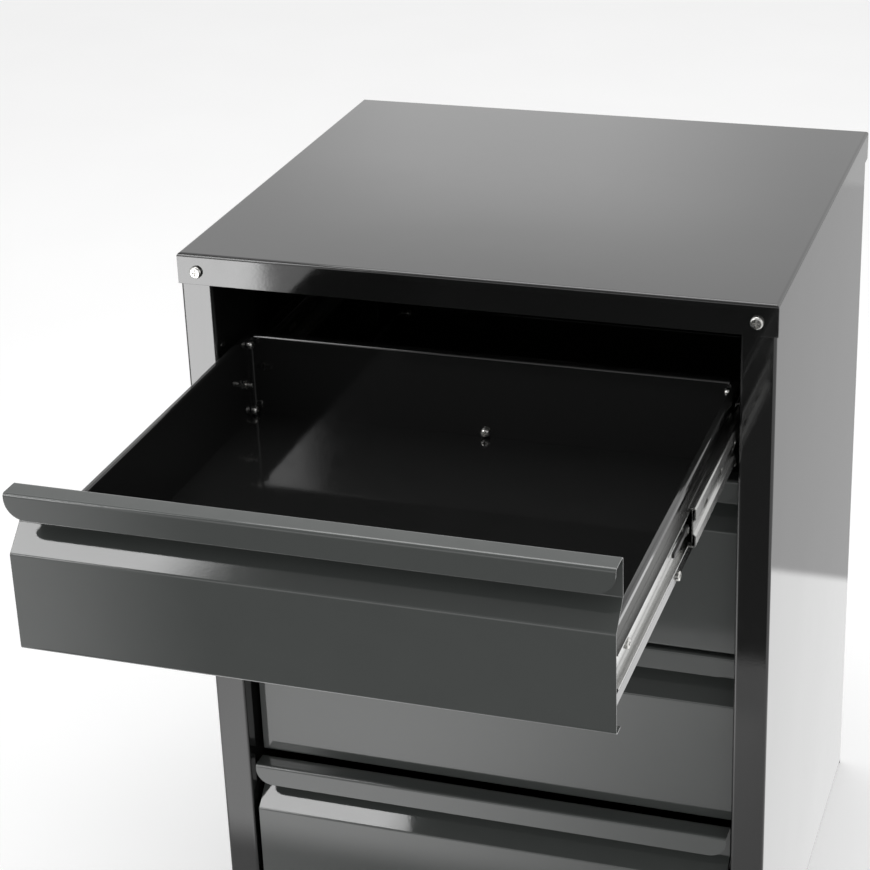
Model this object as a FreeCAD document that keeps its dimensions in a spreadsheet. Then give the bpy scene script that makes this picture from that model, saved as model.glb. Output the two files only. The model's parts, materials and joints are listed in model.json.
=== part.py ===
import FreeCAD, Part

import math
import os

import Sketcher
from FreeCAD import Rotation, Vector

# Workshop drawer cabinet of folded sheet steel with four drawers on three-part ball slides.
# Millimetres, +Z up, the front towards -Y. The origin is on the floor, under the middle of the
# cabinet's own footprint. The top drawer stands pulled out and the bottom one a little ajar.

SIZES = [
    # The cabinet shell
    ("body_width", 560.0, "outer faces of the two side panels"),
    ("body_depth", 501.0, "front faces of the posts to the rear flanges"),
    ("body_height", 775.0, "floor to the top of the cap"),
    ("sheet", 1.0, "sheet of the body and of the drawers"),
    ("bend", 2.0, "inner radius of a fold"),
    ("fit_play", 0.3, "play between two sheets that slide together"),
    ("cap_sheet", 1.2, "sheet of the top cap"),
    ("cap_skirt", 30.0, "height of the cap with its skirt"),
    ("cap_slit", 0.8, "open slit where two skirts of the cap meet"),
    ("post_face", 31.8, "width of a front post"),
    ("post_return", 95.0, "depth of the post's inner leg, which carries the slides"),
    ("rear_flange", 28.0, "inward flange at the back of a side panel"),
    ("foot_flange", 24.0, "inward flange at the foot of a side panel"),
    ("rear_post_depth", 68.0, "depth of the channel that carries the slides at the back"),
    ("base_rail_height", 35.5, "front rail under the bottom drawer"),
    ("base_rail_return", 15.0, "top fold of that rail"),
    ("base_back_rise", 20.0, "rear fold of the base tray"),
    # The drawer fronts
    ("front_recess", 26.0, "front plane of a shut drawer behind the posts"),
    ("front_side_gap", 4.7, "gap between a drawer front and a post"),
    ("front_gap", 3.8, "gap between two drawer fronts"),
    ("shallow_front", 138.1, "height of the top drawer's front"),
    ("deep_front", 181.0, "height of the other fronts"),
    ("lip_height", 21.9, "pull lip that hangs in front of the finger recess"),
    ("lip_depth", 21.5, "depth of the finger recess, outside"),
    ("lip_corner", 17.0, "rounding of the lip's lower corners"),
    ("recess_height", 33.6, "upright panel behind the finger recess"),
    ("slope_drop", 19.5, "height of the slope under that panel"),
    ("face_return", 12.0, "bottom fold of a drawer front"),
    # The drawer boxes
    ("box_depth", 461.0, "front plane to the outer face of the back wall"),
    ("box_rise", 0.8, "top of the box above the top of the front's face"),
    ("box_foot", 3.8, "underside of the box above the foot of the front"),
    ("wall_flange", 5.0, "outward top flange of a side wall, beyond the wall"),
    ("wall_hem", 6.0, "edge turned down from that flange"),
    ("wall_tab", 12.0, "front tab of a side wall"),
    ("wall_tab_height", 70.0, "height of that tab"),
    ("back_tab", 11.0, "end tab of the back wall"),
    ("back_flange", 7.0, "rearward top flange of the back wall"),
    ("tray_rise", 12.0, "folded edge of the floor tray"),
    # The slides
    ("slide_length", 450.0, "each member of a slide"),
    ("slide_height", 45.0, "cabinet member"),
    ("slide_thickness", 12.7, "the whole slide, side to side"),
    ("slide_play", 0.8, "how far a slide is drawn apart between its post and its drawer"),
    ("slide_setback", 17.0, "front end of a shut slide behind the drawer's front plane"),
    ("slide_level_shallow", 43.3, "middle of the top drawer's slides above its foot"),
    ("slide_level_deep", 39.0, "middle of the other slides above the foot of the drawer"),
    ("rail_sheet", 1.2, "zinc-plated strip of the slides"),
    ("rail_bend", 0.8, "inner radius of the strip's folds"),
    ("rail_edge", 4.0, "turned edge of the cabinet member"),
    ("middle_edge", 2.6, "turned edge of the middle member"),
    ("middle_setback", 16.5, "front end of the middle member behind the cabinet member's"),
    ("web_step", 2.2, "how far the middle of the middle member's web stands towards the drawer"),
    ("web_step_height", 11.0, "height of that middle part"),
    ("drawer_rail_depth", 6.0, "drawer member, side to side"),
    ("ridge_height", 1.2, "two ridges along the drawer member"),
    ("ridge_place", 8.2, "middle of a ridge above or below the middle of the slide"),
    ("ridge_width", 5.0, "foot of a ridge"),
    ("ball_gap", 3.3, "space for the balls between two members"),
    ("web_gap", 1.0, "space between the webs of two members"),
    ("edge_gap", 0.4, "clearance of a member's free edge"),
    ("slot_length", 18.0, "oval hole in the middle member"),
    ("slot_width", 6.5, "width of that hole"),
    ("slot_pitch", 56.0, "spacing of the oval holes"),
    ("slot_first", 50.0, "first oval hole behind the front end of the middle member"),
    ("cage_length", 190.0, "ball cage"),
    ("cage_sheet", 0.4, "strip of the ball cage"),
    ("cage_reach", 2.4, "flange of the ball cage"),
    ("lever_length", 48.0, "release lever in front of its pivot"),
    ("lever_height", 8.0, "release lever"),
    ("lever_thickness", 2.4, "release lever"),
    ("lever_place", 250.0, "pivot of the release lever behind the drawer's front plane"),
    ("pivot_shank", 4.0, "stud that the release lever turns on"),
    ("pivot_head", 6.0, "diameter of the stud's head"),
    ("pivot_head_height", 0.6, "height of the stud's head"),
    # Where the drawers stand in the photographed state
    ("opening_top", 442.0, "top drawer, almost at its stop"),
    ("opening_bottom", 24.0, "bottom drawer, ajar"),
    # The fasteners
    ("cap_screw_inset", 17.2, "cap screw from the side of the body"),
    ("cap_screw_drop", 17.5, "cap screw under the top of the cap"),
    ("screw_shank", 6.0, "cabinet screw"),
    ("screw_head", 12.0, "diameter of its head"),
    ("screw_head_height", 3.6, "height of its head"),
    ("screw_length", 10.0, "cabinet screw under the head"),
    ("recess_width", 1.3, "arm of the cross recess"),
    ("bolt_shank", 5.0, "drawer bolt"),
    ("bolt_head", 9.0, "diameter of its head"),
    ("bolt_head_height", 2.6, "height of its head"),
    ("bolt_length", 12.0, "side bolt under the head"),
    ("corner_bolt_length", 5.5, "bolt at a back corner under the head"),
    ("corner_head_height", 5.0, "height of its domed head"),
    ("nut_width", 8.0, "nut across its flats"),
    ("nut_height", 3.2, "nut"),
    ("bolt_drop", 7.5, "upper corner bolt under the top of the box"),
    ("bolt_setback", 7.0, "corner bolts in front of the back wall"),
    ("side_bolt_place", 232.0, "middle bolt of the floor tray behind the front plane"),
    ("rail_bolt_front", 60.0, "front bolt of a drawer member behind the front plane"),
    ("rail_bolt_back", 437.0, "rear bolt of a drawer member behind the front plane"),
    ("rivet_shank", 4.8, "rivet that holds a cabinet member"),
    ("rivet_head", 9.5, "diameter of its head"),
    ("rivet_head_height", 1.6, "height of its head"),
    ("rivet_front", 37.0, "front rivet behind the end of the member"),
    ("rivet_back", 38.0, "rear rivet in front of the other end"),
    ("hole_play", 0.3, "a hole's diameter over its fastener's"),
]

# Shares of a whole: the rounding and the cross recess of a head, the back screws' heights, and
# the rounding of a slot's ends.
HEAD_CROWN = 0.55
CROSS_REACH = 0.28
CROSS_DEPTH = 0.55
BACK_SCREW_SHARES = (0.2, 0.5, 0.8)
SLOT_ROUNDING = 0.98

doc = FreeCAD.newDocument("drawer_cabinet")
sheet = doc.addObject("Spreadsheet::Sheet", "Sizes")
nodes = []


class Size:
    """A length that carries its number together with the sheet formula that gives it."""

    def __init__(self, value, formula):
        self.value = value
        self.formula = formula

    def __add__(self, other):
        other = as_size(other)
        return Size(self.value + other.value, f"({self.formula} + {other.formula})")

    def __sub__(self, other):
        other = as_size(other)
        return Size(self.value - other.value, f"({self.formula} - {other.formula})")

    def __mul__(self, other):
        other = as_size(other)
        return Size(self.value * other.value, f"({self.formula} * {other.formula})")

    def __truediv__(self, other):
        other = as_size(other)
        return Size(self.value / other.value, f"({self.formula} / {other.formula})")

    def __neg__(self):
        return self * -1


def as_size(number):
    """Turn a plain number into a Size."""
    if isinstance(number, Size):
        return number
    return Size(float(number), f"({float(number)})")


def root(size):
    """Square root of a Size."""
    return Size(math.sqrt(size.value), f"sqrt({size.formula})")


class Measures:
    """The spreadsheet's sizes, each under its own name."""

    def __init__(self, rows):
        for row, (name, value, note) in enumerate(rows, start=1):
            sheet.set(f"A{row}", name)
            sheet.set(f"B{row}", str(value))
            sheet.set(f"C{row}", note)
            sheet.setAlias(f"B{row}", name)
            setattr(self, name, Size(value, f"Sizes.{name}"))


m = Measures(SIZES)
doc.recompute()

zero = as_size(0)
half_width = m.body_width / 2
front_y = -m.body_depth / 2
rear_y = m.body_depth / 2
post_inner = half_width - m.post_face
side_space = m.slide_thickness + m.slide_play
wall_outer = post_inner - side_space
wall_inner = wall_outer - m.sheet
front_half = post_inner - m.front_side_gap
outer_bend = m.bend + m.sheet
shut_front_y = front_y + m.front_recess
box_floor = m.box_foot + m.sheet
back_inner = m.box_depth - m.sheet
low_bolt = box_floor + m.nut_width / math.sqrt(3) + m.fit_play


def new_body(label, x=zero, y=zero, z=zero):
    """Start a sub-part whose own origin is placed in the cabinet's frame."""
    body = doc.addObject("PartDesign::Body", label)
    body.Label = label
    for axis, size in zip("xyz", (x, y, z)):
        body.setExpression(f".Placement.Base.{axis}", as_size(size).formula)
    return body


def attach(body, plane, level):
    """Add a sketch on one of the body's origin planes, moved along that plane's world axis."""
    sketch = body.newObject("Sketcher::SketchObject", f"{body.Name}_sketch")
    planes = [feature for feature in body.Origin.OriginFeatures if feature.Role == f"{plane}_Plane"]
    sketch.AttachmentSupport = [(planes[0], "")]
    sketch.MapMode = "FlatFace"
    shift = -level if plane == "XZ" else level
    sketch.setExpression(".AttachmentOffset.Base.z", shift.formula)
    return sketch


def pin_point(sketch, curve, end, x, y):
    """Tie one point of a curve to the sheet by its two coordinates."""
    for kind, size in (("DistanceX", x), ("DistanceY", y)):
        index = sketch.addConstraint(Sketcher.Constraint(kind, -1, 1, curve, end, size.value))
        sketch.setExpression(f"Constraints[{index}]", size.formula)


def set_length(sketch, kind, curve, size):
    """Tie a radius or diameter to the sheet."""
    index = sketch.addConstraint(Sketcher.Constraint(kind, curve, size.value))
    sketch.setExpression(f"Constraints[{index}]", size.formula)


def round_corner(before, corner, after, radius):
    """Tangent points and arc of a corner rounded with the given radius."""
    back = (before - corner).normalize()
    ahead = (after - corner).normalize()
    half_angle = back.getAngle(ahead) / 2
    reach = radius / math.tan(half_angle)
    centre = corner + (back + ahead).normalize() * (radius / math.sin(half_angle))
    start = corner + back * reach
    end = corner + ahead * reach
    turns_left = back.cross(ahead).z < 0
    first, last = (start, end) if turns_left else (end, start)
    angles = [math.atan2(point.y - centre.y, point.x - centre.x) for point in (first, last)]
    arc = Part.ArcOfCircle(Part.Circle(centre, Vector(0, 0, 1), radius), angles[0], angles[1])
    return start, end, arc, turns_left


def draw_outline(sketch, corners):
    """Draw a closed outline. A corner is (x, y) or (x, y, radius)."""
    corners = [tuple(as_size(size) for size in corner) for corner in corners]
    points = [Vector(corner[0].value, corner[1].value, 0) for corner in corners]
    count = len(points)
    starts, ends, arcs = list(points), list(points), {}
    for index, corner in enumerate(corners):
        if len(corner) == 3:
            before = points[index - 1]
            after = points[(index + 1) % count]
            rounded = round_corner(before, points[index], after, corner[2].value)
            ends[index], starts[index] = rounded[0], rounded[1]
            arcs[index] = rounded[2:]
    lines = [sketch.addGeometry(Part.LineSegment(starts[i], ends[(i + 1) % count]), False)
             for i in range(count)]
    for index, corner in enumerate(corners):
        before, after = lines[index - 1], lines[index]
        if index not in arcs:
            sketch.addConstraint(Sketcher.Constraint("Coincident", before, 2, after, 1))
            pin_point(sketch, after, 1, corner[0], corner[1])
            continue
        arc, turns_left = arcs[index]
        mark = sketch.addGeometry(Part.Point(points[index]), True)
        pin_point(sketch, mark, 1, corner[0], corner[1])
        for line in (before, after):
            sketch.addConstraint(Sketcher.Constraint("PointOnObject", mark, 1, line))
        curve = sketch.addGeometry(arc, False)
        first, last = (1, 2) if turns_left else (2, 1)
        sketch.addConstraint(Sketcher.Constraint("Tangent", before, 2, curve, first))
        sketch.addConstraint(Sketcher.Constraint("Tangent", curve, last, after, 1))
        set_length(sketch, "Radius", curve, corner[2])


def draw_circles(sketch, centres, diameter):
    """Draw equal circles."""
    for x, y in centres:
        centre = Vector(x.value, y.value, 0)
        curve = sketch.addGeometry(Part.Circle(centre, Vector(0, 0, 1), diameter.value / 2), False)
        pin_point(sketch, curve, 3, x, y)
        set_length(sketch, "Diameter", curve, diameter)


def grow(body, plane, corners, start, end):
    """Pad an outline from one level to another along the plane's world axis."""
    sketch = attach(body, plane, as_size(start))
    draw_outline(sketch, corners)
    pad = body.newObject("PartDesign::Pad", f"{body.Name}_pad")
    pad.Profile = sketch
    pad.Reversed = plane == "XZ"
    pad.setExpression("Length", (as_size(end) - start).formula)
    doc.recompute()
    return pad


def cut(body, plane, draw, start, end):
    """Cut what draw(sketch) outlines, between two levels along the plane's world axis."""
    before = body.Shape.Volume
    sketch = attach(body, plane, as_size(start if plane == "XZ" else end))
    draw(sketch)
    pocket = body.newObject("PartDesign::Pocket", f"{body.Name}_cut")
    pocket.Profile = sketch
    pocket.setExpression("Length", (as_size(end) - start).formula)
    doc.recompute()
    if body.Shape.Volume >= before:
        raise RuntimeError(f"{body.Label}: a cut removed nothing")
    return pocket


def cut_outline(body, plane, corners, start, end):
    """Cut a closed outline."""
    return cut(body, plane, lambda sketch: draw_outline(sketch, corners), start, end)


def drill(body, plane, centres, fastener, start, end):
    """Drill clearance holes for fasteners of one diameter."""
    hole = fastener + m.hole_play
    return cut(body, plane, lambda sketch: draw_circles(sketch, centres, hole), start, end)


def rectangle(left, right, low, high):
    """Corners of a rectangle."""
    return [(left, low), (right, low), (right, high), (left, high)]


def near(number, size):
    """Whether a measured number is the given size."""
    return abs(number - size.value) < 1e-4


def round_edges(body, radius, chosen):
    """Round the edges whose bounding boxes are chosen."""
    tip = body.Tip
    edges = [f"Edge{number}" for number, edge in enumerate(tip.Shape.Edges, start=1)
             if chosen(edge.BoundBox)]
    fillet = body.newObject("PartDesign::Fillet", f"{body.Name}_round")
    fillet.Base = (tip, edges)
    fillet.setExpression("Radius", radius.formula)
    doc.recompute()
    body.Tip = fillet


def keep(item):
    """Count an object as one of the cabinet's nodes."""
    nodes.append(item)
    return item


def pair(label, members):
    """One node of the left and right pieces of a set."""
    group = doc.addObject("Part::Compound", label)
    group.Label = label
    group.Links = members
    return keep(group)


def in_order(first, second):
    """Two sizes in rising order."""
    return (first, second) if first.value < second.value else (second, first)


def turned(corners, side):
    """The outline for the right side (1) or, mirrored, for the left side (-1)."""
    return [(as_size(corner[0]) * side,) + tuple(corner[1:]) for corner in corners]


# The screws, bolts, nuts and rivets, each drawn once with its head towards +Z

def turned_fastener(label, head, head_height, shank, length):
    """A revolved fastener: the underside of its head lies at the origin."""
    body = new_body(label)
    sketch = attach(body, "XZ", zero)
    crown = head_height * HEAD_CROWN
    draw_outline(sketch, [
        (zero, -length),
        (shank / 2, -length),
        (shank / 2, zero),
        (head / 2, zero),
        (head / 2, head_height, crown),
        (zero, head_height),
    ])
    turn = body.newObject("PartDesign::Revolution", f"{body.Name}_turn")
    turn.Profile = sketch
    turn.ReferenceAxis = (sketch, ["V_Axis"])
    turn.Angle = 360
    doc.recompute()
    body.Tip = turn
    return body


def cut_cross(body, head, head_height):
    """The cross recess in a head."""
    arm = head * CROSS_REACH
    half = m.recess_width / 2
    depth = head_height * CROSS_DEPTH
    corners = [
        (-half, -arm), (half, -arm), (half, -half), (arm, -half), (arm, half), (half, half),
        (half, arm), (-half, arm), (-half, half), (-arm, half), (-arm, -half), (-half, -half),
    ]
    cut_outline(body, "XY", corners, head_height - depth, head_height)


def make_screw():
    """Pan-head screw of the cabinet shell."""
    body = turned_fastener("screw_pattern", m.screw_head, m.screw_head_height, m.screw_shank,
                           m.screw_length)
    cut_cross(body, m.screw_head, m.screw_head_height)
    return body


def make_bolt(label, head_height, length):
    """Bolt of the drawer boxes, with a domed head."""
    body = turned_fastener(label, m.bolt_head, head_height, m.bolt_shank, length)
    cut_cross(body, m.bolt_head, head_height)
    return body


def make_nut():
    """Hexagon nut, from the origin up."""
    body = new_body("nut_pattern")
    corner = m.nut_width / math.sqrt(3)
    flat = m.nut_width / 2
    corners = [(corner, zero), (corner / 2, flat), (-corner / 2, flat),
               (-corner, zero), (-corner / 2, -flat), (corner / 2, -flat)]
    grow(body, "XY", corners, zero, m.nut_height)
    centre = [(zero, zero)]
    drill(body, "XY", centre, m.bolt_shank, zero, m.nut_height)
    return body


def make_rivet():
    """Rivet that ends flush with the web of the cabinet member."""
    length = m.sheet + m.rail_sheet - m.hole_play
    return turned_fastener("rivet_pattern", m.rivet_head, m.rivet_head_height, m.rivet_shank, length)


def placed_group(label, items):
    """One node of separate copies. An item is (pattern, place, direction of its head)."""
    copies = []
    for pattern, place, direction in items:
        copy = pattern.Shape.copy()
        copy.Placement = FreeCAD.Placement(place, Rotation(Vector(0, 0, 1), direction))
        copies.append(copy)
    group = doc.addObject("Part::Feature", label)
    group.Label = label
    group.Shape = Part.makeCompound(copies)
    return keep(group)


# The cabinet shell

cap_screw_x = half_width - m.cap_screw_inset
cap_screw_z = m.body_height - m.cap_screw_drop
panel_top = m.body_height - m.cap_sheet - m.bend
rear_post_y = rear_y - m.sheet * 2 - m.rear_post_depth
back_screw_zs = [m.body_height * share for share in BACK_SCREW_SHARES]
rivet_ys = [shut_front_y + m.slide_setback + m.rivet_front,
            shut_front_y + m.slide_setback + m.slide_length - m.rivet_back]


def make_cap():
    """Top cap: a tray turned upside down, with an open slit at each corner of its skirt."""
    body = new_body("top_cap", z=m.body_height - m.cap_skirt)
    inner_side = half_width + m.fit_play
    inner_depth = rear_y + m.fit_play
    side = inner_side + m.cap_sheet
    depth = inner_depth + m.cap_sheet
    ceiling = m.cap_skirt - m.cap_sheet
    fold = m.bend + m.cap_sheet
    grow(body, "XY", rectangle(-side, side, -depth, depth), zero, m.cap_skirt)
    round_edges(body, fold, lambda box: near(box.ZMin, m.cap_skirt))
    cut_outline(body, "XY", rectangle(-inner_side, inner_side, -inner_depth, inner_depth), zero,
                ceiling)
    round_edges(body, m.bend, lambda box: near(box.ZMin, ceiling) and near(box.ZMax, ceiling))
    for sx in (-1, 1):
        for sy in (-1, 1):
            ends = in_order(inner_depth * sy, (inner_depth - m.cap_slit) * sy)
            walls = in_order(inner_side * sx, side * sx)
            cut_outline(body, "XY", rectangle(walls[0], walls[1], ends[0], ends[1]), zero,
                        m.cap_skirt - fold)
    centres = [(cap_screw_x * sx, m.cap_skirt - m.cap_screw_drop) for sx in (-1, 1)]
    drill(body, "XZ", centres, m.screw_shank, -depth, depth)
    return keep(body)


def make_side(side, label):
    """Side panel with its front post and rear flange, folded from one sheet."""
    body = new_body(label)
    t = m.sheet
    skin = half_width
    leg = front_y + m.post_return
    section = turned([
        (post_inner, leg),
        (post_inner, front_y, outer_bend),
        (skin, front_y, outer_bend),
        (skin, rear_y, outer_bend),
        (skin - m.rear_flange, rear_y),
        (skin - m.rear_flange, rear_y - t),
        (skin - t, rear_y - t, m.bend),
        (skin - t, front_y + t, m.bend),
        (post_inner + t, front_y + t, m.bend),
        (post_inner + t, leg),
    ], side)
    grow(body, "XY", section, zero, panel_top)
    fold_foot(body, side, leg)
    drill(body, "XZ", [(cap_screw_x * side, cap_screw_z)], m.screw_shank, front_y, rear_y)
    drill(body, "XZ", [(cap_screw_x * side, z) for z in back_screw_zs], m.screw_shank,
          rear_y - t, rear_y)
    levels = [drawer.slide_z for drawer in drawers]
    walls = in_order(post_inner * side, (post_inner + t) * side)
    drill(body, "YZ", [(rivet_ys[0], z) for z in levels], m.rivet_shank, walls[0], walls[1])
    return keep(body)


def fold_foot(body, side, leg):
    """Fold the foot of a side panel inwards, between the front post and the rear fold."""
    t = m.sheet
    start = leg + outer_bend
    end = rear_y - outer_bend * 2
    skin = in_order((half_width - t) * side, half_width * side)
    top = t + outer_bend * 2
    cut_outline(body, "XY", rectangle(skin[0], skin[1], start, end), zero, top)
    flange = half_width - m.foot_flange
    grow(body, "XZ", turned([
        (flange, t), (half_width, t, outer_bend), (half_width, top),
        (half_width - t, top), (half_width - t, t * 2, m.bend), (flange, t * 2),
    ], side), start, end)


def make_rear_post(side, label):
    """Channel behind the side panel that carries the rear ends of the slides."""
    body = new_body(label)
    t = m.sheet
    near = rear_post_y
    far = rear_y - t * 2
    skin = half_width - t
    section = turned([
        (skin, near),
        (skin, near + t),
        (post_inner + t, near + t, m.bend),
        (post_inner + t, far - t, m.bend),
        (skin - m.bend, far - t),
        (skin - m.bend, far),
        (post_inner, far, outer_bend),
        (post_inner, near, outer_bend),
    ], side)
    grow(body, "XY", section, t * 2 + m.bend, panel_top)
    levels = [drawer.slide_z for drawer in drawers]
    walls = in_order(post_inner * side, (post_inner + t) * side)
    drill(body, "YZ", [(rivet_ys[1], z) for z in levels], m.rivet_shank, walls[0], walls[1])
    heights = back_screw_zs + [cap_screw_z]
    drill(body, "XZ", [(cap_screw_x * side, z) for z in heights], m.screw_shank, far - t, far)
    return keep(body)


def make_back():
    """Flat back panel between the rear flanges and the rear channels."""
    body = new_body("back_panel")
    t = m.sheet
    reach = half_width - outer_bend
    grow(body, "XZ", rectangle(-reach, reach, zero, panel_top), rear_y - t * 2, rear_y - t)
    heights = back_screw_zs + [cap_screw_z]
    centres = [(cap_screw_x * sx, z) for sx in (-1, 1) for z in heights]
    drill(body, "XZ", centres, m.screw_shank, rear_y - t * 2, rear_y - t)
    return keep(body)


def make_base():
    """Base tray, with the front rail under the bottom drawer and a fold at the back."""
    body = new_body("base_tray")
    t = m.sheet
    wide = half_width - outer_bend
    narrow = post_inner - m.fit_play
    rail = front_y + m.front_recess
    back = rear_y - t * 2
    top = m.base_rail_height
    fold = rail + m.base_rail_return
    rise = m.base_back_rise
    grow(body, "YZ", [
        (rail, zero, outer_bend), (back, zero, outer_bend), (back, rise), (back - t, rise),
        (back - t, t, m.bend), (rail + t, t, m.bend), (rail + t, top - t, m.bend),
        (fold, top - t), (fold, top), (rail, top, outer_bend),
    ], -narrow, narrow)
    for side in (-1, 1):
        edges = in_order(narrow * side, wide * side)
        leg = front_y + m.post_return + m.fit_play
        grow(body, "XY", rectangle(edges[0], edges[1], leg, back), zero, t)
    return keep(body)


def make_cabinet_screws(screw):
    """The screws of the cap and of the back."""
    out = (m.body_depth / 2 + m.fit_play + m.cap_sheet).value
    x = cap_screw_x.value
    items = []
    for sx in (-1, 1):
        items.append((screw, Vector(x * sx, -out, cap_screw_z.value), Vector(0, -1, 0)))
        items.append((screw, Vector(x * sx, out, cap_screw_z.value), Vector(0, 1, 0)))
        for z in back_screw_zs:
            items.append((screw, Vector(x * sx, rear_y.value, z.value), Vector(0, 1, 0)))
    return placed_group("cabinet_screws", items)


def make_slide_rivets(rivet):
    """The rivets that hold the cabinet members to the posts."""
    items = []
    for sx in (-1, 1):
        face = (post_inner + m.sheet).value * sx
        for drawer in drawers:
            for y in rivet_ys:
                items.append((rivet, Vector(face, y.value, drawer.slide_z.value), Vector(sx, 0, 0)))
    return placed_group("slide_rivets", items)


# The drawers

class Drawer:
    """Where one drawer stands, from the bottom up, and what differs from its neighbours."""

    def __init__(self, number, foot, height, slide_level, opening):
        self.name = f"drawer_{number}"
        self.foot = foot
        self.height = height
        self.opening = opening
        self.slide_level = slide_level
        self.slide_z = foot + slide_level
        self.face_top = height - m.recess_height - m.slope_drop
        self.box_top = self.face_top + m.box_rise
        self.front_y = shut_front_y - opening

    def body(self, piece, share=1.0):
        """A sub-part that travels by a share of the drawer's opening."""
        return new_body(f"{self.name}_{piece}", y=shut_front_y - self.opening * share, z=self.foot)


def plan_drawers():
    """The four drawers, numbered from the top."""
    step = m.deep_front + m.front_gap
    foot = m.base_rail_height + m.front_gap
    deep, low = m.deep_front, m.slide_level_deep
    return [
        Drawer(1, foot + step * 3, m.shallow_front, m.slide_level_shallow, m.opening_top),
        Drawer(2, foot + step * 2, deep, low, zero),
        Drawer(3, foot + step, deep, low, zero),
        Drawer(4, foot, deep, low, m.opening_bottom),
    ]


drawers = plan_drawers()


def make_front(drawer):
    """Drawer front: lip, finger recess, slope, face and bottom fold of one sheet."""
    body = drawer.body("front")
    t = m.sheet
    top = drawer.height
    inner, outer = m.bend, outer_bend
    lip_foot = top - m.lip_height
    panel_y = m.lip_depth - t
    panel_foot = top - m.recess_height
    face_top = drawer.face_top
    slope = root(panel_y * panel_y + m.slope_drop * m.slope_drop)
    mitre = t * (slope - m.slope_drop) / panel_y
    grow(body, "YZ", [
        (zero, lip_foot),
        (zero, top, outer),
        (m.lip_depth, top, outer),
        (m.lip_depth, panel_foot - mitre, outer),
        (t, face_top - mitre, inner),
        (t, t, inner),
        (m.face_return, t),
        (m.face_return, zero),
        (zero, zero, outer),
        (zero, face_top, outer),
        (panel_y, panel_foot, inner),
        (panel_y, top - t, inner),
        (t, top - t, inner),
        (t, lip_foot),
    ], -front_half, front_half)
    round_edges(body, m.lip_corner, lambda box: near(box.ZMax, lip_foot) and near(box.XLength, zero))
    return keep(body)


def make_wall(drawer, side, label):
    """Side wall of a drawer box, with its top flange, hem and front tab."""
    body = drawer.body(label)
    t = m.sheet
    top = drawer.box_top
    flange = wall_outer + m.wall_flange
    section = turned([
        (wall_inner, box_floor),
        (wall_inner, top, m.bend),
        (flange, top, m.bend),
        (flange, top - m.wall_hem),
        (flange - t, top - m.wall_hem),
        (flange - t, top - t, m.bend / 2),
        (wall_outer, top - t, m.bend / 2),
        (wall_outer, box_floor),
    ], side)
    grow(body, "XZ", section, t, m.box_depth)
    tab = in_order((wall_inner - m.wall_tab) * side, (wall_outer - t / 2) * side)
    grow(body, "XZ", rectangle(tab[0], tab[1], box_floor, m.wall_tab_height), t, t * 2)
    walls = in_order(wall_inner * side, wall_outer * side)
    drill(body, "YZ", bolt_points(drawer), m.bolt_shank, walls[0], walls[1])
    trim_wall_nose(drawer, body, side)
    return keep(body)


def trim_wall_nose(drawer, body, side):
    """Clear the front's slope: cut back the flange, and the wall's upper front corner."""
    t = m.sheet
    top = drawer.box_top + t
    flange = in_order((wall_outer + m.fit_play) * side, (wall_outer + m.wall_flange * 2) * side)
    cut_outline(body, "XY", rectangle(flange[0], flange[1], zero, m.lip_depth), zero, top)
    wall = in_order((wall_inner - t) * side, (wall_outer + t) * side)
    cut_outline(body, "XY", rectangle(wall[0], wall[1], zero, t + outer_bend),
                drawer.face_top - outer_bend, top)


def bolt_points(drawer):
    """Bolts through a side wall, as places along the drawer and heights above its foot."""
    corner = back_inner - m.bolt_setback
    return [
        (corner, drawer.box_top - m.bolt_drop),
        (corner, low_bolt),
        (m.side_bolt_place, low_bolt),
        (m.rail_bolt_front, drawer.slide_level),
        (m.rail_bolt_back, drawer.slide_level),
    ]


def make_back_wall(drawer):
    """Back wall of a drawer box, with end tabs against the side walls and a top flange."""
    body = drawer.body("back_wall")
    t = m.sheet
    top = drawer.box_top
    reach = wall_inner
    inner = back_inner
    tab = inner - m.back_tab
    outer = m.box_depth
    plan = [
        (-reach, tab), (-reach, outer, outer_bend), (reach, outer, outer_bend), (reach, tab),
        (reach - t, tab), (reach - t, inner, m.bend), (-reach + t, inner, m.bend), (-reach + t, tab),
    ]
    grow(body, "XY", plan, box_floor, top - outer_bend)
    width = reach - outer_bend
    fold = outer + m.back_flange
    grow(body, "YZ", [(inner, box_floor), (inner, top, outer_bend), (fold, top), (fold, top - t),
                      (outer, top - t, m.bend), (outer, box_floor)], -width, width)
    corner = back_inner - m.bolt_setback
    heights = [top - m.bolt_drop, low_bolt]
    drill(body, "YZ", [(corner, z) for z in heights], m.bolt_shank, -reach, reach)
    drill(body, "XZ", [(zero, low_bolt)], m.bolt_shank, inner, outer)
    return keep(body)


def make_tray(drawer):
    """Floor tray of a drawer box: its folded edges lie outside the walls."""
    body = drawer.body("floor_tray")
    t = m.sheet
    foot = m.box_foot
    side = wall_outer + t
    top = foot + m.tray_rise
    back = m.box_depth + t
    front = t + m.fit_play
    grow(body, "XZ", [
        (-side, top), (-side, foot, m.bend), (side, foot, m.bend), (side, top),
        (side - t, top), (side - t, foot + t), (-side + t, foot + t), (-side + t, top),
    ], front, back - m.bend)
    end = wall_outer - m.bend
    grow(body, "YZ", [(back - m.bend * 2, foot), (back, foot, m.bend), (back, top), (back - t, top),
                      (back - t, foot + t), (back - m.bend * 2, foot + t)], -end, end)
    points = [(back_inner - m.bolt_setback, low_bolt), (m.side_bolt_place, low_bolt)]
    drill(body, "YZ", points, m.bolt_shank, -side, side)
    drill(body, "XZ", [(zero, low_bolt)], m.bolt_shank, back - t, back)
    return keep(body)


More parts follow.
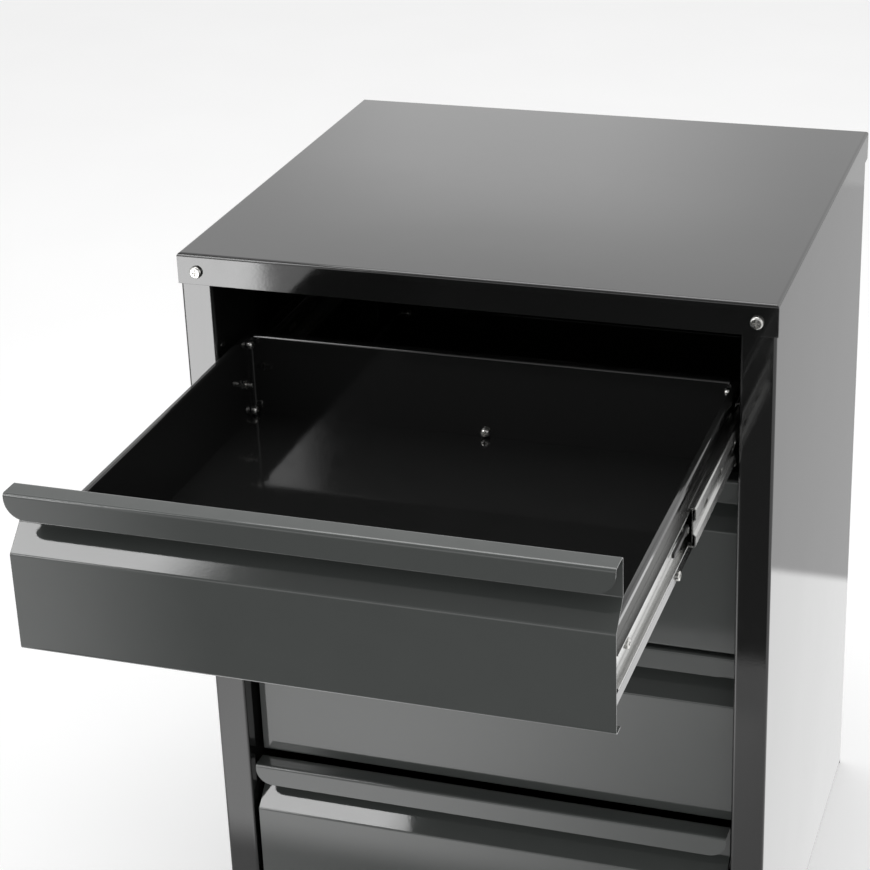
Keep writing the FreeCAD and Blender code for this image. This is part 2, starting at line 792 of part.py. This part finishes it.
def make_drawer_bolts(drawer, bolt, corner_bolt, nut):
    """Bolts and nuts of the box and of its drawer members."""
    origin = Vector(0, drawer.front_y.value, drawer.foot.value)
    tab, skin, inside = m.sheet.value, wall_outer.value, wall_inner.value
    rail_face = skin + m.rail_sheet.value
    seats = [
        (corner_bolt, inside - tab, -1, skin),
        (corner_bolt, inside - tab, -1, skin + tab),
        (bolt, skin + tab, 1, inside),
        (bolt, rail_face, 1, inside),
        (bolt, rail_face, 1, inside),
    ]
    items = []
    for sx in (-1, 1):
        for (y, z), (pattern, head, outward, seat) in zip(bolt_points(drawer), seats):
            head_place = Vector(head * sx, y.value, z.value)
            nut_place = Vector(seat * sx, y.value, z.value)
            items.append((pattern, origin + head_place, Vector(sx * outward, 0, 0)))
            items.append((nut, origin + nut_place, Vector(-sx * outward, 0, 0)))
    rear = m.box_depth.value + tab
    low = low_bolt.value
    items.append((corner_bolt, origin + Vector(0, back_inner.value, low), Vector(0, -1, 0)))
    items.append((nut, origin + Vector(0, rear, low), Vector(0, 1, 0)))
    return placed_group(f"{drawer.name}_bolts", items)


# The slides. A section is drawn from the face of the post (0) towards the drawer.

cabinet_half = m.slide_height / 2
middle_half = cabinet_half - m.rail_sheet - m.ball_gap
drawer_half = middle_half - m.middle_edge - m.edge_gap
middle_web = m.rail_sheet + m.web_gap
middle_far = m.slide_thickness - m.rail_sheet - m.edge_gap * 3
middle_start = m.slide_setback + m.middle_setback
middle_length = m.slide_length - m.middle_setback
drawer_web = side_space - m.rail_sheet
rail_curve = m.rail_bend + m.rail_sheet
lever_base = drawer_web - m.ridge_height - m.edge_gap
lever_face = lever_base - m.lever_thickness
lever_high = m.lever_height / 2


def channel(near, far, half, edge, web_near=(), web_back=()):
    """C section: a web at near, flanges up to far, and edges turned in from the flanges.

    The web's two faces may run through further corners, each list from the bottom up.
    """
    t = m.rail_sheet
    back = near + t
    tip = far - t
    lower = half - t
    return [
        (near, -half, rail_curve), (far, -half, rail_curve), (far, -half + edge),
        (tip, -half + edge), (tip, -lower, m.rail_bend), (back, -lower, m.rail_bend),
        *web_back,
        (back, lower, m.rail_bend), (tip, lower, m.rail_bend), (tip, half - edge),
        (far, half - edge), (far, half, rail_curve), (near, half, rail_curve),
        *reversed(web_near),
    ]


def stepped(level):
    """The stepped middle of the middle member's web, from the bottom up."""
    high = m.web_step_height / 2
    foot = high + m.web_step
    raised = level + m.web_step
    return [(level, -foot), (raised, -high), (raised, high), (level, foot)]


def ridged(level):
    """The two ridges along the drawer member's web, from the bottom up."""
    foot = m.ridge_width / 2
    crest = foot - m.ridge_height
    raised = level - m.ridge_height
    corners = []
    for middle in (-m.ridge_place, m.ridge_place):
        corners += [(level, middle - foot), (raised, middle - crest),
                    (raised, middle + crest), (level, middle + foot)]
    return corners


def drawer_section():
    """U section of the drawer member: its web lies on the wall, its flanges face the post."""
    tip = side_space - m.drawer_rail_depth
    lower = drawer_half - m.rail_sheet
    return [
        (tip, -drawer_half), (side_space, -drawer_half),
        *ridged(side_space),
        (side_space, drawer_half), (tip, drawer_half), (tip, lower), (drawer_web, lower),
        *reversed(ridged(drawer_web)),
        (drawer_web, -lower), (tip, -lower),
    ]


def cage_section(web, half):
    """U section of a ball cage: its flanges reach from the web towards the drawer."""
    back = web + m.cage_sheet
    tip = back + m.cage_reach
    inner = half - m.cage_sheet
    return [(web, -half), (web, half), (tip, half), (tip, inner),
            (back, inner), (back, -inner), (tip, -inner), (tip, -half)]


def on_post(section, side):
    """Set a slide section against the post of one side."""
    return [((post_inner - corner[0]) * side,) + tuple(corner[1:]) for corner in section]


def slide_member(drawer, label, side, section, share, start, length):
    """One member of a slide, at the drawer's slide level."""
    hand = "left" if side < 0 else "right"
    body = new_body(f"{drawer.name}_{label}_{hand}", y=shut_front_y - drawer.opening * share,
                    z=drawer.slide_z)
    grow(body, "XZ", on_post(section, side), start, as_size(start) + length)
    return body


def faces(side, near, far):
    """The two levels of a cut across a slide, in rising order of X."""
    return in_order((post_inner - near) * side, (post_inner - far) * side)


def make_cabinet_rails(drawer):
    """Outer members, riveted to the front and rear posts."""
    far = m.slide_thickness - m.edge_gap * 2
    section = channel(zero, far, cabinet_half, m.rail_edge)
    rails = []
    for side in (-1, 1):
        body = slide_member(drawer, "cabinet_rail", side, section, 0.0, m.slide_setback,
                            m.slide_length)
        levels = faces(side, zero, m.rail_sheet)
        places = [(m.slide_setback + m.rivet_front, zero),
                  (m.slide_setback + m.slide_length - m.rivet_back, zero)]
        drill(body, "YZ", places, m.rivet_shank, levels[0], levels[1])
        rails.append(body)
    return pair(f"{drawer.name}_cabinet_rails", rails)


def slot_outline(y, half_length, half_height):
    """A slot with round ends, along the slide."""
    radius = half_height * SLOT_ROUNDING
    return [(y - half_length, -half_height, radius), (y + half_length, -half_height, radius),
            (y + half_length, half_height, radius), (y - half_length, half_height, radius)]


def make_middle_rails(drawer):
    """Middle members, with a row of oval holes, which travel half as far as the drawer."""
    near, back = middle_web, middle_web + m.rail_sheet
    section = channel(near, middle_far, middle_half, m.middle_edge, stepped(near), stepped(back))
    count = int((middle_length.value - m.slot_first.value) / m.slot_pitch.value) + 1
    rails = []
    for side in (-1, 1):
        body = slide_member(drawer, "middle_rail", side, section, 0.5, middle_start, middle_length)
        levels = faces(side, near + m.web_step, back + m.web_step)
        for number in range(count):
            y = middle_start + m.slot_first + m.slot_pitch * number
            cut_outline(body, "YZ", slot_outline(y, m.slot_length / 2, m.slot_width / 2),
                        levels[0], levels[1])
        rails.append(body)
    return pair(f"{drawer.name}_middle_rails", rails)


def make_drawer_rails(drawer):
    """Inner members, bolted to the side walls of the drawer, each with its lever's stud."""
    rails = []
    for side in (-1, 1):
        body = slide_member(drawer, "drawer_rail", side, drawer_section(), 1.0, m.slide_setback,
                            m.slide_length)
        levels = faces(side, drawer_web, side_space)
        drill(body, "YZ", [(m.rail_bolt_front, zero), (m.rail_bolt_back, zero)], m.bolt_shank,
              levels[0], levels[1])
        head_back = lever_face - m.edge_gap
        add_stud(body, m.pivot_shank, faces(side, head_back, drawer_web))
        add_stud(body, m.pivot_head, faces(side, head_back - m.pivot_head_height, head_back))
        rails.append(body)
    return pair(f"{drawer.name}_drawer_rails", rails)


def add_stud(body, diameter, levels):
    """A round length of the stud that the release lever turns on."""
    sketch = attach(body, "YZ", levels[0])
    draw_circles(sketch, [(m.lever_place, zero)], diameter)
    pad = body.newObject("PartDesign::Pad", f"{body.Name}_stud")
    pad.Profile = sketch
    pad.setExpression("Length", (levels[1] - levels[0]).formula)
    doc.recompute()


def make_cages(drawer, label, web, half, share):
    """Ball cages of both slides, each a thin channel that keeps the balls apart."""
    start = m.slide_setback + (m.slide_length - m.cage_length) / 2
    cages = [slide_member(drawer, label, side, cage_section(web, half), share, start,
                          m.cage_length)
             for side in (-1, 1)]
    return pair(f"{drawer.name}_{label}s", cages)


def make_levers(drawer):
    """Release levers: plastic bars on the drawer members that free the drawer when pressed."""
    high = lever_high
    tongue = high / 2
    start = m.lever_place - m.lever_length
    neck = m.lever_place - high
    heel = m.lever_place + high
    outline = [
        (start, -tongue, tongue / 2), (neck - high, -tongue), (neck, -high), (heel, -high, tongue),
        (heel, high, tongue), (neck, high), (neck - high, tongue), (start, tongue, tongue / 2),
    ]
    levers = []
    for side in (-1, 1):
        hand = "left" if side < 0 else "right"
        body = new_body(f"{drawer.name}_release_lever_{hand}", y=drawer.front_y, z=drawer.slide_z)
        levels = faces(side, lever_face, lever_base)
        grow(body, "YZ", outline, levels[0], levels[1])
        drill(body, "YZ", [(m.lever_place, zero)], m.pivot_shank, levels[0], levels[1])
        levers.append(body)
    return pair(f"{drawer.name}_release_levers", levers)


def make_slides(drawer):
    """Everything that carries one drawer."""
    make_cabinet_rails(drawer)
    make_middle_rails(drawer)
    make_drawer_rails(drawer)
    web_play = (m.web_gap - m.cage_sheet) / 2
    outer_half = (middle_half + cabinet_half - m.rail_sheet + m.cage_sheet) / 2
    make_cages(drawer, "outer_cage", m.rail_sheet + web_play, outer_half, 0.25)
    inner_half = (drawer_half + middle_half - m.rail_sheet + m.cage_sheet) / 2
    inner_web = middle_web + m.rail_sheet + m.web_step + web_play
    make_cages(drawer, "inner_cage", inner_web, inner_half, 0.75)
    make_levers(drawer)


def make_drawer(drawer, bolt, corner_bolt, nut):
    """One drawer with its box, fasteners and slides."""
    make_front(drawer)
    make_wall(drawer, -1, "left_wall")
    make_wall(drawer, 1, "right_wall")
    make_back_wall(drawer)
    make_tray(drawer)
    make_drawer_bolts(drawer, bolt, corner_bolt, nut)
    make_slides(drawer)


def check_objects():
    """Stop on any object that failed or that has no sound shape."""
    for item in doc.Objects:
        if "Invalid" in item.State or "Error" in item.State:
            raise RuntimeError(f"{item.Label} failed: {item.State}")
    for node in nodes:
        if node.Shape.isNull() or not node.Shape.isValid():
            raise RuntimeError(f"{node.Label} has no valid shape")


def write_nodes():
    """Write each node to its own file."""
    os.makedirs("parts", exist_ok=True)
    for node in nodes:
        node.Shape.exportStep(os.path.join("parts", f"{node.Label}.step"))
        print(node.Label, len(node.Shape.Solids), round(node.Shape.Volume))


def main():
    screw, nut, rivet = make_screw(), make_nut(), make_rivet()
    bolt = make_bolt("bolt_pattern", m.bolt_head_height, m.bolt_length)
    corner_bolt = make_bolt("corner_bolt_pattern", m.corner_head_height, m.corner_bolt_length)
    make_cap()
    make_side(-1, "left_side_panel")
    make_side(1, "right_side_panel")
    make_rear_post(-1, "left_rear_post")
    make_rear_post(1, "right_rear_post")
    make_back()
    make_base()
    make_cabinet_screws(screw)
    make_slide_rivets(rivet)
    for drawer in drawers:
        make_drawer(drawer, bolt, corner_bolt, nut)
    doc.recompute()
    check_objects()
    write_nodes()


main()
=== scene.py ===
"""Looks of the workshop drawer cabinet: black and grey gloss paint, zinc slides, studio light."""

import json
import math

import bpy
from mathutils import Matrix, Vector

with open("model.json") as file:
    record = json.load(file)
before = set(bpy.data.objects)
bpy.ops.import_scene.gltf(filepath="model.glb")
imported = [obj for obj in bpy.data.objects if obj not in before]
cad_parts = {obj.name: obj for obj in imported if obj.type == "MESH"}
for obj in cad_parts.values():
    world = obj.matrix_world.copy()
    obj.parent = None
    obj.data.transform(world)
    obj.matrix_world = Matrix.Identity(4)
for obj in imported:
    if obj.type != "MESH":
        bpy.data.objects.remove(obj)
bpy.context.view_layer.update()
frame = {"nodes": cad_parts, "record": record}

IMAGE = 870
SENSOR = 36.0
SQUARE = ((-1, -1), (1, -1), (1, 1), (-1, 1))

# The camera as the photograph's perspective gives it, in metres and radians
CAMERA_PLACE = Vector((0.598, -2.0444, 1.5036))
CAMERA_SIDE = 0.3259
CAMERA_DOWN = 0.4107
CAMERA_ROLL = -0.0337
FOCAL_PIXELS = 2273.6
CENTRE_PIXEL = (460.4, 375.4)

# How strongly the floor glows to the camera and to reflections, and how the world lights
FLOOR_WHITE = 0.35
FLOOR_GLOW = 0.16
WORLD_LIGHT = 0.6
FLOOR_REACH = 12.0

# The deepest and the palest shade of each finish
BLACK = ((0.0100, 0.0102, 0.0100, 1.0), (0.0130, 0.0132, 0.0130, 1.0))
GREY = ((0.0735, 0.0795, 0.0765, 1.0), (0.0815, 0.0880, 0.0845, 1.0))
ZINC = ((0.49, 0.49, 0.48, 1.0), (0.53, 0.53, 0.52, 1.0))
PLATED = ((0.55, 0.545, 0.52, 1.0), (0.78, 0.775, 0.75, 1.0))
PLASTIC = ((0.012, 0.012, 0.012, 1.0), (0.02, 0.02, 0.02, 1.0))
FLOOR = ((0.80, 0.80, 0.80, 1.0), (0.84, 0.84, 0.84, 1.0))

# The smoothest and the roughest place of each finish
PAINT_ROUGHNESS = (0.05, 0.09)
ZINC_ROUGHNESS = (0.2, 0.27)
PLATED_ROUGHNESS = (0.18, 0.34)
PLASTIC_ROUGHNESS = (0.32, 0.45)
FLOOR_ROUGHNESS = 0.8

# How strongly the paint mirrors, the height of each bump, and how far edges look rounded
PAINT_IOR = 1.72
PAINT_BUMP, ZINC_BUMP, PLATED_BUMP, PLASTIC_BUMP = 0.0004, 0.000012, 0.00004, 0.00003
PAINT_EDGE, ZINC_EDGE = 0.0005, 0.0003

# How much longer the zinc's drawn lines are along the slide than across it
LINE_STRETCH = (1.0, 0.008, 1.0)

# The lamp overhead: its place, where it points, its size and its radiance
TOP_LAMP = ((0.0, 0.2, 3.0), (0.0, 0.0, 0.4), (2.0, 2.0), 2.5)

# The studio's cards: brightness, the soft share of each half-side, and two opposite corners
CARDS = [
    ("left_strip", 6.8, (0.1, 0.2), ((-1.3, -1.2, 0.0), (-0.6, -1.2, 0.45))),
    ("left_glow", 1.2, (0.5, 0.2), ((-1.4, -1.21, 0.15), (-0.33, -1.21, 0.6))),
    ("high_key", 5.8, (0.08, 0.1), ((-2.0, -2.2, 1.25), (-1.0, -2.2, 1.95))),
    ("high_shade", 0.22, (0.04, 0.06), ((-1.02, -2.21, 1.25), (1.4, -2.21, 1.95))),
    ("slope_key", 5.9, (0.29, 0.1), ((-1.5, -1.2, 1.5), (-0.52, -1.2, 1.95))),
    ("slope_shade", 0.2, (0.1, 0.1), ((-0.56, -1.21, 1.5), (1.2, -1.21, 1.95))),
    ("ceiling_shade", 0.45, (0.05, 0.05), ((-4.0, -6.0, 3.4), (4.0, -0.3, 3.4))),
    ("front_room", 0.22, (0.05, 0.05), ((-1.6, -2.6, 0.003), (0.6, -0.93, 0.003))),
    ("front_floor", 2.0, (0.9, 0.3), ((-0.95, -0.85, 0.004), (0.28, -0.39, 0.004))),
    ("post_shade", 0.08, (0.04, 0.04), ((0.115, -0.9, 0.03), (0.35, -0.9, 0.43))),
    ("side_floor", 1.42, (0.06, 0.06), ((0.1, -0.3, 0.004), (0.9, 0.7, 0.004))),
    ("far_floor", 0.65, (0.06, 0.06), ((0.1, 0.65, 0.003), (1.4, 2.35, 0.003))),
    ("high_rear", 0.6, (0.05, 0.1), ((-2.6, 2.2, 2.24), (0.4, 2.2, 3.0))),
    ("rear_card", 1.42, (0.8, 0.6), ((-1.42, 2.2, 0.8), (-0.02, 2.2, 1.8))),
]


class Nodes:
    """A node tree with short calls to add and join nodes."""

    def __init__(self, tree):
        self.tree = tree
        tree.nodes.clear()

    def add(self, kind, **inputs):
        """Add a node and set its inputs, by socket name or by attribute."""
        node = self.tree.nodes.new(kind)
        for name, value in inputs.items():
            label = name.replace("_", " ")
            socket = next((s for s in node.inputs if s.name.lower() == label.lower()), None)
            if socket is None:
                setattr(node, name, value)
            elif isinstance(value, bpy.types.NodeSocket):
                self.tree.links.new(value, socket)
            else:
                socket.default_value = value
        return node

    def join(self, source, target):
        """Link two sockets."""
        self.tree.links.new(source, target)


def new_material(name):
    """An empty material with its node tree."""
    material = bpy.data.materials.new(name)
    material.use_nodes = True
    return material, Nodes(material.node_tree)


def finish_material(nodes, shader, bump_height=None, bump_distance=0.0, edge=None):
    """Join a shader to the output, over a bump and softened edges if they are given."""
    output = nodes.add("ShaderNodeOutputMaterial")
    nodes.join(shader.outputs[0], output.inputs["Surface"])
    if bump_height is not None:
        bump = nodes.add("ShaderNodeBump", Strength=1.0, Distance=bump_distance,
                         Height=bump_height)
        nodes.join(bump.outputs["Normal"], shader.inputs["Normal"])
        if edge is not None:
            bevel = nodes.add("ShaderNodeBevel", Radius=edge, samples=4)
            nodes.join(bevel.outputs["Normal"], bump.inputs["Normal"])


def noise(nodes, place, scale, detail=2.0, roughness=0.5):
    """Noise over the object's own coordinates, at a scale of cells per metre."""
    return nodes.add("ShaderNodeTexNoise", Vector=place, Scale=scale, Detail=detail,
                     Roughness=roughness).outputs["Fac"]


def ramp(nodes, value, low, high, start, end):
    """Map a value from one range to another, within the new range's ends."""
    node = nodes.add("ShaderNodeMapRange")
    node.inputs["From Min"].default_value = low
    node.inputs["From Max"].default_value = high
    node.inputs["To Min"].default_value = start
    node.inputs["To Max"].default_value = end
    nodes.join(value, node.inputs["Value"])
    return node.outputs["Result"]


def math_node(nodes, operation, first, second=0.0):
    """A sum, product or other operation on one value or two."""
    node = nodes.add("ShaderNodeMath")
    node.operation = operation
    for socket, value in zip(node.inputs, (first, second)):
        if isinstance(value, bpy.types.NodeSocket):
            nodes.join(value, socket)
        else:
            socket.default_value = value
    return node.outputs["Value"]


def shades(nodes, value, deepest, palest):
    """The colour between two shades, by a value from 0 to 1."""
    blend = nodes.add("ShaderNodeValToRGB", Fac=value)
    blend.color_ramp.elements[0].color = deepest
    blend.color_ramp.elements[1].color = palest
    return blend.outputs["Color"]


def place_of(nodes):
    """The point's place on the object, in metres."""
    return nodes.add("ShaderNodeTexCoord").outputs["Object"]


def gloss_paint(name, deepest, palest):
    """Gloss powder coat with orange peel and the slow waves of thin sheet."""
    material, nodes = new_material(name)
    place = place_of(nodes)
    peel = noise(nodes, place, scale=450.0, detail=1.5, roughness=0.4)
    waves = noise(nodes, place, scale=6.0, detail=1.0, roughness=0.3)
    height = math_node(nodes, "ADD", math_node(nodes, "MULTIPLY", peel, 0.02),
                       math_node(nodes, "MULTIPLY", waves, 0.8))
    patches = noise(nodes, place, scale=60.0, detail=4.0, roughness=0.6)
    tone = shades(nodes, noise(nodes, place, scale=25.0, detail=3.0), deepest, palest)
    shader = nodes.add("ShaderNodeBsdfPrincipled", Base_Color=tone, IOR=PAINT_IOR,
                       Roughness=ramp(nodes, patches, 0.3, 0.7, *PAINT_ROUGHNESS))
    finish_material(nodes, shader, height, PAINT_BUMP, PAINT_EDGE)
    return material


def bright_zinc():
    """Bright zinc plate over drawn steel, with fine lines along the slide."""
    material, nodes = new_material("zinc_slide")
    place = place_of(nodes)
    stretch = nodes.add("ShaderNodeMapping", Vector=place)
    stretch.inputs["Scale"].default_value = LINE_STRETCH
    lines = noise(nodes, stretch.outputs["Vector"], scale=900.0, detail=3.0, roughness=0.6)
    cloud = noise(nodes, place, scale=35.0, detail=4.0, roughness=0.6)
    mixed = math_node(nodes, "ADD", lines, cloud)
    shader = nodes.add("ShaderNodeBsdfPrincipled", Base_Color=shades(nodes, cloud, *ZINC),
                       Roughness=ramp(nodes, mixed, 0.7, 1.3, *ZINC_ROUGHNESS), Metallic=1.0)
    finish_material(nodes, shader, lines, ZINC_BUMP, ZINC_EDGE)
    return material


def plated_screws():
    """Zinc-plated screws, bolts, nuts and rivets."""
    material, nodes = new_material("plated_screws")
    cloud = noise(nodes, place_of(nodes), scale=300.0, detail=3.0, roughness=0.6)
    shader = nodes.add("ShaderNodeBsdfPrincipled", Base_Color=shades(nodes, cloud, *PLATED),
                       Roughness=ramp(nodes, cloud, 0.3, 0.7, *PLATED_ROUGHNESS), Metallic=1.0)
    finish_material(nodes, shader, cloud, PLATED_BUMP)
    return material


def black_plastic():
    """Moulded black plastic of the release levers."""
    material, nodes = new_material("black_plastic")
    place = place_of(nodes)
    grain = noise(nodes, place, scale=1500.0)
    patches = noise(nodes, place, scale=200.0)
    shader = nodes.add("ShaderNodeBsdfPrincipled", Base_Color=shades(nodes, grain, *PLASTIC),
                       Roughness=ramp(nodes, patches, 0.3, 0.7, *PLASTIC_ROUGHNESS))
    finish_material(nodes, shader, grain, PLASTIC_BUMP)
    return material


def dress_nodes():
    """Give every CAD node the material of its slot."""
    materials = {
        "black_paint": gloss_paint("black_paint", *BLACK),
        "grey_paint": gloss_paint("grey_paint", *GREY),
        "zinc_slide": bright_zinc(),
        "plated_screws": plated_screws(),
        "black_plastic": black_plastic(),
    }
    slots = {part["node"]: part["material_slot"] for part in frame["record"]["subparts"]}
    for name, item in frame["nodes"].items():
        item.data.materials.clear()
        item.data.materials.append(materials[slots[name]])


def seen_directly(nodes):
    """1 for what the camera, a reflection or a clear piece sees, 0 for what lights a surface."""
    path = nodes.add("ShaderNodeLightPath")
    seen = math_node(nodes, "MAXIMUM", path.outputs["Is Camera Ray"], path.outputs["Is Glossy Ray"])
    return math_node(nodes, "MAXIMUM", seen, path.outputs["Is Transmission Ray"])


def make_floor():
    """Pale floor that reads as white and keeps the cabinet's shadow."""
    material, nodes = new_material("studio_floor")
    tone = shades(nodes, noise(nodes, place_of(nodes), scale=4.0), *FLOOR)
    path = nodes.add("ShaderNodeLightPath")
    direct = math_node(nodes, "MAXIMUM", path.outputs["Is Camera Ray"],
                       path.outputs["Is Transmission Ray"])
    glow = math_node(nodes, "ADD", math_node(nodes, "MULTIPLY", direct, FLOOR_WHITE),
                     math_node(nodes, "MULTIPLY", path.outputs["Is Glossy Ray"], FLOOR_GLOW))
    shader = nodes.add("ShaderNodeBsdfPrincipled", Base_Color=tone, Roughness=FLOOR_ROUGHNESS,
                       Emission_Color=(1.0, 1.0, 1.0, 1.0), Emission_Strength=glow)
    shader.inputs["Specular IOR Level"].default_value = 0.0
    finish_material(nodes, shader)
    mesh = bpy.data.meshes.new("studio_floor")
    corners = [(FLOOR_REACH * x, FLOOR_REACH * y, 0) for x, y in SQUARE]
    mesh.from_pydata(corners, [], [(0, 1, 2, 3)])
    mesh.materials.append(material)
    floor = bpy.data.objects.new("studio_floor", mesh)
    bpy.context.scene.collection.objects.link(floor)


def make_world():
    """Plain pale world, white where the camera or a reflection sees it."""
    world = bpy.data.worlds.new("studio")
    bpy.context.scene.world = world
    world.use_nodes = True
    nodes = Nodes(world.node_tree)
    strength = ramp(nodes, seen_directly(nodes), 0.0, 1.0, WORLD_LIGHT, 1.0)
    background = nodes.add("ShaderNodeBackground", Color=(1.0, 1.0, 1.0, 1.0), Strength=strength)
    output = nodes.add("ShaderNodeOutputWorld")
    nodes.join(background.outputs[0], output.inputs["Surface"])


def area_light(name, place, target, size, radiance):
    """A soft lamp aimed at a point, hidden from the camera itself."""
    lamp = bpy.data.lights.new(name, "AREA")
    lamp.shape = "RECTANGLE"
    lamp.size, lamp.size_y = size
    lamp.energy = radiance * math.pi * size[0] * size[1]
    item = bpy.data.objects.new(name, lamp)
    item.location = place
    item.rotation_euler = (Vector(target) - Vector(place)).to_track_quat("-Z", "Y").to_euler()
    item.visible_camera = False
    bpy.context.scene.collection.objects.link(item)


def ramp_smooth(nodes, value, high):
    """Rise softly from 0 to 1 while the value rises from 0 to the given height."""
    node = nodes.add("ShaderNodeMapRange", interpolation_type="SMOOTHSTEP")
    node.inputs["From Max"].default_value = high
    nodes.join(value, node.inputs["Value"])
    return node.outputs["Result"]


def card_material(name, radiance, edges):
    """A glow that fades out towards the edges of a card whose sides run from -1 to 1."""
    material, nodes = new_material(name)
    place = nodes.add("ShaderNodeSeparateXYZ", Vector=place_of(nodes))
    fades = []
    for axis, edge in zip("XY", edges):
        reach = math_node(nodes, "ABSOLUTE", place.outputs[axis])
        fades.append(ramp_smooth(nodes, math_node(nodes, "SUBTRACT", 1.0, reach), edge))
    glow = nodes.add("ShaderNodeEmission", Strength=radiance)
    clear = nodes.add("ShaderNodeBsdfTransparent")
    mix = nodes.add("ShaderNodeMixShader")
    nodes.join(math_node(nodes, "MULTIPLY", fades[0], fades[1]), mix.inputs[0])
    nodes.join(clear.outputs[0], mix.inputs[1])
    nodes.join(glow.outputs[0], mix.inputs[2])
    finish_material(nodes, mix)
    return material


def card(name, ends, radiance, edges):
    """A studio card between two opposite corners, which only reflections show."""
    low, high = Vector(ends[0]), Vector(ends[1])
    half = (high - low) / 2
    across = Vector((half.x, 0.0, 0.0))
    upward = Vector((0.0, half.y, half.z))
    mesh = bpy.data.meshes.new(name)
    mesh.from_pydata([(x, y, 0) for x, y in SQUARE], [], [(0, 1, 2, 3)])
    mesh.materials.append(card_material(name, radiance, edges))
    item = bpy.data.objects.new(name, mesh)
    turn = Matrix((across, upward, across.cross(upward).normalized())).transposed()
    item.matrix_world = Matrix.Translation((low + high) / 2) @ turn.to_4x4()
    item.visible_camera = False
    item.visible_shadow = False
    item.visible_diffuse = False
    bpy.context.scene.collection.objects.link(item)


def make_lights():
    """Soft lamps and cards round the cabinet, placed for the photograph's reflections."""
    area_light("top_lamp", *TOP_LAMP)
    for name, radiance, edges, ends in CARDS:
        card(name, ends, radiance, edges)


def make_camera():
    """Camera at the photograph's place, with its angle and framing."""
    side, down, roll = CAMERA_SIDE, CAMERA_DOWN, CAMERA_ROLL
    ahead = Vector((-math.sin(side) * math.cos(down), math.cos(side) * math.cos(down),
                    -math.sin(down)))
    level = Vector((math.cos(side), math.sin(side), 0.0))
    upright = level.cross(ahead)
    right = level * math.cos(roll) + upright * math.sin(roll)
    up = upright * math.cos(roll) - level * math.sin(roll)
    turn = Matrix((right, up, -ahead)).transposed()
    data = bpy.data.cameras.new("camera")
    data.sensor_width = SENSOR
    data.lens = FOCAL_PIXELS * SENSOR / IMAGE
    data.shift_x = (IMAGE / 2 - CENTRE_PIXEL[0]) / IMAGE
    data.shift_y = (CENTRE_PIXEL[1] - IMAGE / 2) / IMAGE
    camera = bpy.data.objects.new("camera", data)
    camera.matrix_world = Matrix.Translation(CAMERA_PLACE) @ turn.to_4x4()
    bpy.context.scene.collection.objects.link(camera)
    bpy.context.scene.camera = camera


dress_nodes()
make_floor()
make_world()
make_lights()
make_camera()
bpy.context.scene.view_settings.view_transform = "Standard"
